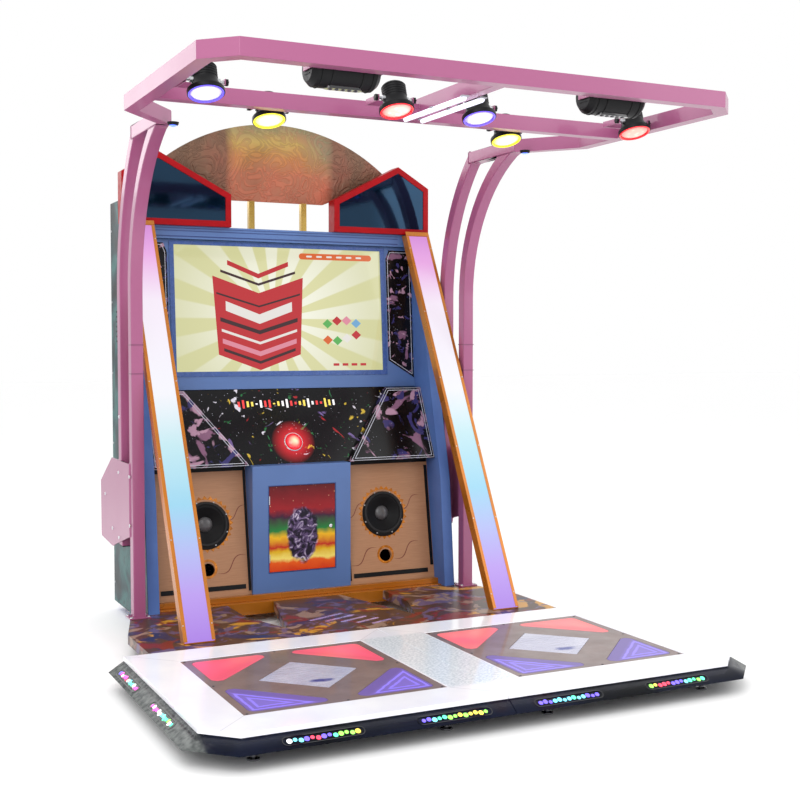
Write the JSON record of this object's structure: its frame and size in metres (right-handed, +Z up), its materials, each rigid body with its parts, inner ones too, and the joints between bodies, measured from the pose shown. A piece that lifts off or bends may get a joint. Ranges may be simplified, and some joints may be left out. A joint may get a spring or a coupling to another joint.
{
  "type": "dance rhythm machine",
  "caption": "Free-standing two-player dance arcade machine: lit dance platform with stepping panels, screen cabinet with speakers, leaning light columns and a lamp canopy on curved tubes.",
  "frame": {"origin": "centre of the bounding box at floor level", "axes": "+Z up, +Y from the dance platform's front edge towards the back of the cabinet, so players face +Y; +X to the players' right"},
  "size_m": [2.49, 2.795, 2.65],
  "materials": {
    "white_deck": "glossy white laminate with a fine pale speckle",
    "black_skirt": "mirror-gloss black sheet with coloured light windows",
    "bronze_plate": "satin bronze",
    "red_panel": "translucent acrylic lit red from below",
    "blue_panel": "translucent acrylic lit blue-violet from below",
    "centre_plate": "brushed, with a plain dark blue fleck",
    "printed_board": "boards under a glossy abstract print",
    "gold_trim": "mirror gold",
    "blue_laminate": "blue laminate on board",
    "black_board": "black laminate on board",
    "screen": "lit display showing a plain sunburst behind glass",
    "black_gloss": "gloss black with a starfield print",
    "speaker_board": "kraft-brown laminate",
    "woofer_black": "black paper cone with a rubber surround",
    "plain_steel": "zinc-plated sheet",
    "sign_red": "red edging round dark mirror faces",
    "dome_bronze": "metallic bronze sheet with warm reflections",
    "brass_post": "polished",
    "gold_channel": "mirror gold channel",
    "diffuser": "milky diffuser lit pink, white, cyan and violet",
    "pink_paint": "pink-purple gloss paint",
    "red_button": "lit red push button",
    "door_print": "abstract printed panel",
    "lamp_black": "matt black with a lit lens"
  },
  "bodies": {
    "machine": {"deck_left": "white_deck", "platform_base_left": "black_skirt", "pad_plate_left": "bronze_plate", "deck_right": "white_deck", "platform_base_right": "black_skirt", "pad_plate_right": "bronze_plate", "bridge_left": "printed_board", "bridge_centre": "printed_board", "bridge_right": "printed_board", "cabinet_base": "gold_trim", "trim_rail": "gold_trim", "side_panel_left": "blue_laminate", "side_panel_right": "blue_laminate", "back_panel": "black_board", "crown_cover": "blue_laminate", "screen_surround": "blue_laminate", "monitor": "screen", "control_panel": "black_gloss", "control_box_left": "black_gloss", "control_box_right": "black_gloss", "speaker_panel_left": "speaker_board", "woofer_left": "woofer_black", "speaker_panel_right": "speaker_board", "woofer_right": "woofer_black", "coin_box": "blue_laminate", "cash_box": "plain_steel", "computer_unit": "plain_steel", "amplifier": "plain_steel", "sign_box_left": "sign_red", "sign_box_right": "sign_red", "dome_sign": "dome_bronze", "sign_stand": "brass_post", "light_column_left": "gold_channel", "diffuser_left": "diffuser", "tube_frame_left": "pink_paint", "light_column_right": "gold_channel", "diffuser_right": "diffuser", "tube_frame_right": "pink_paint", "canopy_frame": "pink_paint"},
    "panel_left_centre": {"panel_left_centre": "centre_plate"},
    "panel_left_front_left": {"panel_left_front_left": "blue_panel"},
    "panel_left_front_right": {"panel_left_front_right": "blue_panel"},
    "panel_left_rear_left": {"panel_left_rear_left": "red_panel"},
    "panel_left_rear_right": {"panel_left_rear_right": "red_panel"},
    "panel_right_centre": {"panel_right_centre": "centre_plate"},
    "panel_right_front_left": {"panel_right_front_left": "blue_panel"},
    "panel_right_front_right": {"panel_right_front_right": "blue_panel"},
    "panel_right_rear_left": {"panel_right_rear_left": "red_panel"},
    "panel_right_rear_right": {"panel_right_rear_right": "red_panel"},
    "start_button": {"start_button": "red_button"},
    "coin_door": {"coin_door": "door_print"},
    "rear_door": {"rear_door": "black_board"},
    "lamp_outer_left": {"lamp_outer_left": "lamp_black"},
    "lamp_middle_left": {"lamp_middle_left": "lamp_black"},
    "lamp_inner_left": {"lamp_inner_left": "lamp_black"},
    "effect_light_left": {"effect_light_left": "lamp_black"},
    "lamp_outer_right": {"lamp_outer_right": "lamp_black"},
    "lamp_middle_right": {"lamp_middle_right": "lamp_black"},
    "lamp_inner_right": {"lamp_inner_right": "lamp_black"},
    "effect_light_right": {"effect_light_right": "lamp_black"}
  },
  "joints": [
    {"name": "panel_left_centre_press", "type": "slide", "parent": "machine", "child": "panel_left_centre", "axis": [0, 0, -1], "range_m": [0, 0.003], "stiffness_N_per_m": 20000, "springref_m": -0.003},
    {"name": "panel_left_front_left_press", "type": "slide", "parent": "machine", "child": "panel_left_front_left", "axis": [0, 0, -1], "range_m": [0, 0.003], "stiffness_N_per_m": 20000, "springref_m": -0.003},
    {"name": "panel_left_front_right_press", "type": "slide", "parent": "machine", "child": "panel_left_front_right", "axis": [0, 0, -1], "range_m": [0, 0.003], "stiffness_N_per_m": 20000, "springref_m": -0.003},
    {"name": "panel_left_rear_left_press", "type": "slide", "parent": "machine", "child": "panel_left_rear_left", "axis": [0, 0, -1], "range_m": [0, 0.003], "stiffness_N_per_m": 20000, "springref_m": -0.003},
    {"name": "panel_left_rear_right_press", "type": "slide", "parent": "machine", "child": "panel_left_rear_right", "axis": [0, 0, -1], "range_m": [0, 0.003], "stiffness_N_per_m": 20000, "springref_m": -0.003},
    {"name": "panel_right_centre_press", "type": "slide", "parent": "machine", "child": "panel_right_centre", "axis": [0, 0, -1], "range_m": [0, 0.003], "stiffness_N_per_m": 20000, "springref_m": -0.003},
    {"name": "panel_right_front_left_press", "type": "slide", "parent": "machine", "child": "panel_right_front_left", "axis": [0, 0, -1], "range_m": [0, 0.003], "stiffness_N_per_m": 20000, "springref_m": -0.003},
    {"name": "panel_right_front_right_press", "type": "slide", "parent": "machine", "child": "panel_right_front_right", "axis": [0, 0, -1], "range_m": [0, 0.003], "stiffness_N_per_m": 20000, "springref_m": -0.003},
    {"name": "panel_right_rear_left_press", "type": "slide", "parent": "machine", "child": "panel_right_rear_left", "axis": [0, 0, -1], "range_m": [0, 0.003], "stiffness_N_per_m": 20000, "springref_m": -0.003},
    {"name": "panel_right_rear_right_press", "type": "slide", "parent": "machine", "child": "panel_right_rear_right", "axis": [0, 0, -1], "range_m": [0, 0.003], "stiffness_N_per_m": 20000, "springref_m": -0.003},
    {"name": "start_button_press", "type": "slide", "parent": "machine", "child": "start_button", "axis": [0, 0.9078, -0.4194], "range_m": [0, 0.004], "stiffness_N_per_m": 900, "springref_m": -0.004},
    {"name": "coin_door_hinge", "type": "hinge", "parent": "machine", "child": "coin_door", "pos_m": [-0.187, 0.7825, 0.4705], "axis": [0, 0, -1], "range_deg": [0, 110]},
    {"name": "rear_door_hinge", "type": "hinge", "parent": "machine", "child": "rear_door", "pos_m": [-0.3, 1.3975, 0.65], "axis": [0, 0, 1], "range_deg": [0, 110]},
    {"name": "lamp_outer_left_tilt", "type": "hinge", "parent": "machine", "child": "lamp_outer_left", "pos_m": [-0.99, -0.7425, 2.4415], "axis": [1, 0, 0], "range_deg": [-25, 25]},
    {"name": "lamp_middle_left_tilt", "type": "hinge", "parent": "machine", "child": "lamp_middle_left", "pos_m": [-0.582, -0.3115, 2.4415], "axis": [1, 0, 0], "range_deg": [-25, 25]},
    {"name": "lamp_inner_left_tilt", "type": "hinge", "parent": "machine", "child": "lamp_inner_left", "pos_m": [-0.192, -0.7425, 2.4415], "axis": [1, 0, 0], "range_deg": [-25, 25]},
    {"name": "effect_light_left_tilt", "type": "hinge", "parent": "machine", "child": "effect_light_left", "pos_m": [-0.594, -1.1275, 2.4415], "axis": [1, 0, 0], "range_deg": [-30, 30]},
    {"name": "lamp_outer_right_tilt", "type": "hinge", "parent": "machine", "child": "lamp_outer_right", "pos_m": [0.99, -0.7425, 2.4415], "axis": [1, 0, 0], "range_deg": [-25, 25]},
    {"name": "lamp_middle_right_tilt", "type": "hinge", "parent": "machine", "child": "lamp_middle_right", "pos_m": [0.582, -0.3115, 2.4415], "axis": [1, 0, 0], "range_deg": [-25, 25]},
    {"name": "lamp_inner_right_tilt", "type": "hinge", "parent": "machine", "child": "lamp_inner_right", "pos_m": [0.192, -0.7425, 2.4415], "axis": [1, 0, 0], "range_deg": [-25, 25]},
    {"name": "effect_light_right_tilt", "type": "hinge", "parent": "machine", "child": "effect_light_right", "pos_m": [0.594, -1.1275, 2.4415], "axis": [1, 0, 0], "range_deg": [-30, 30]}
  ]
}
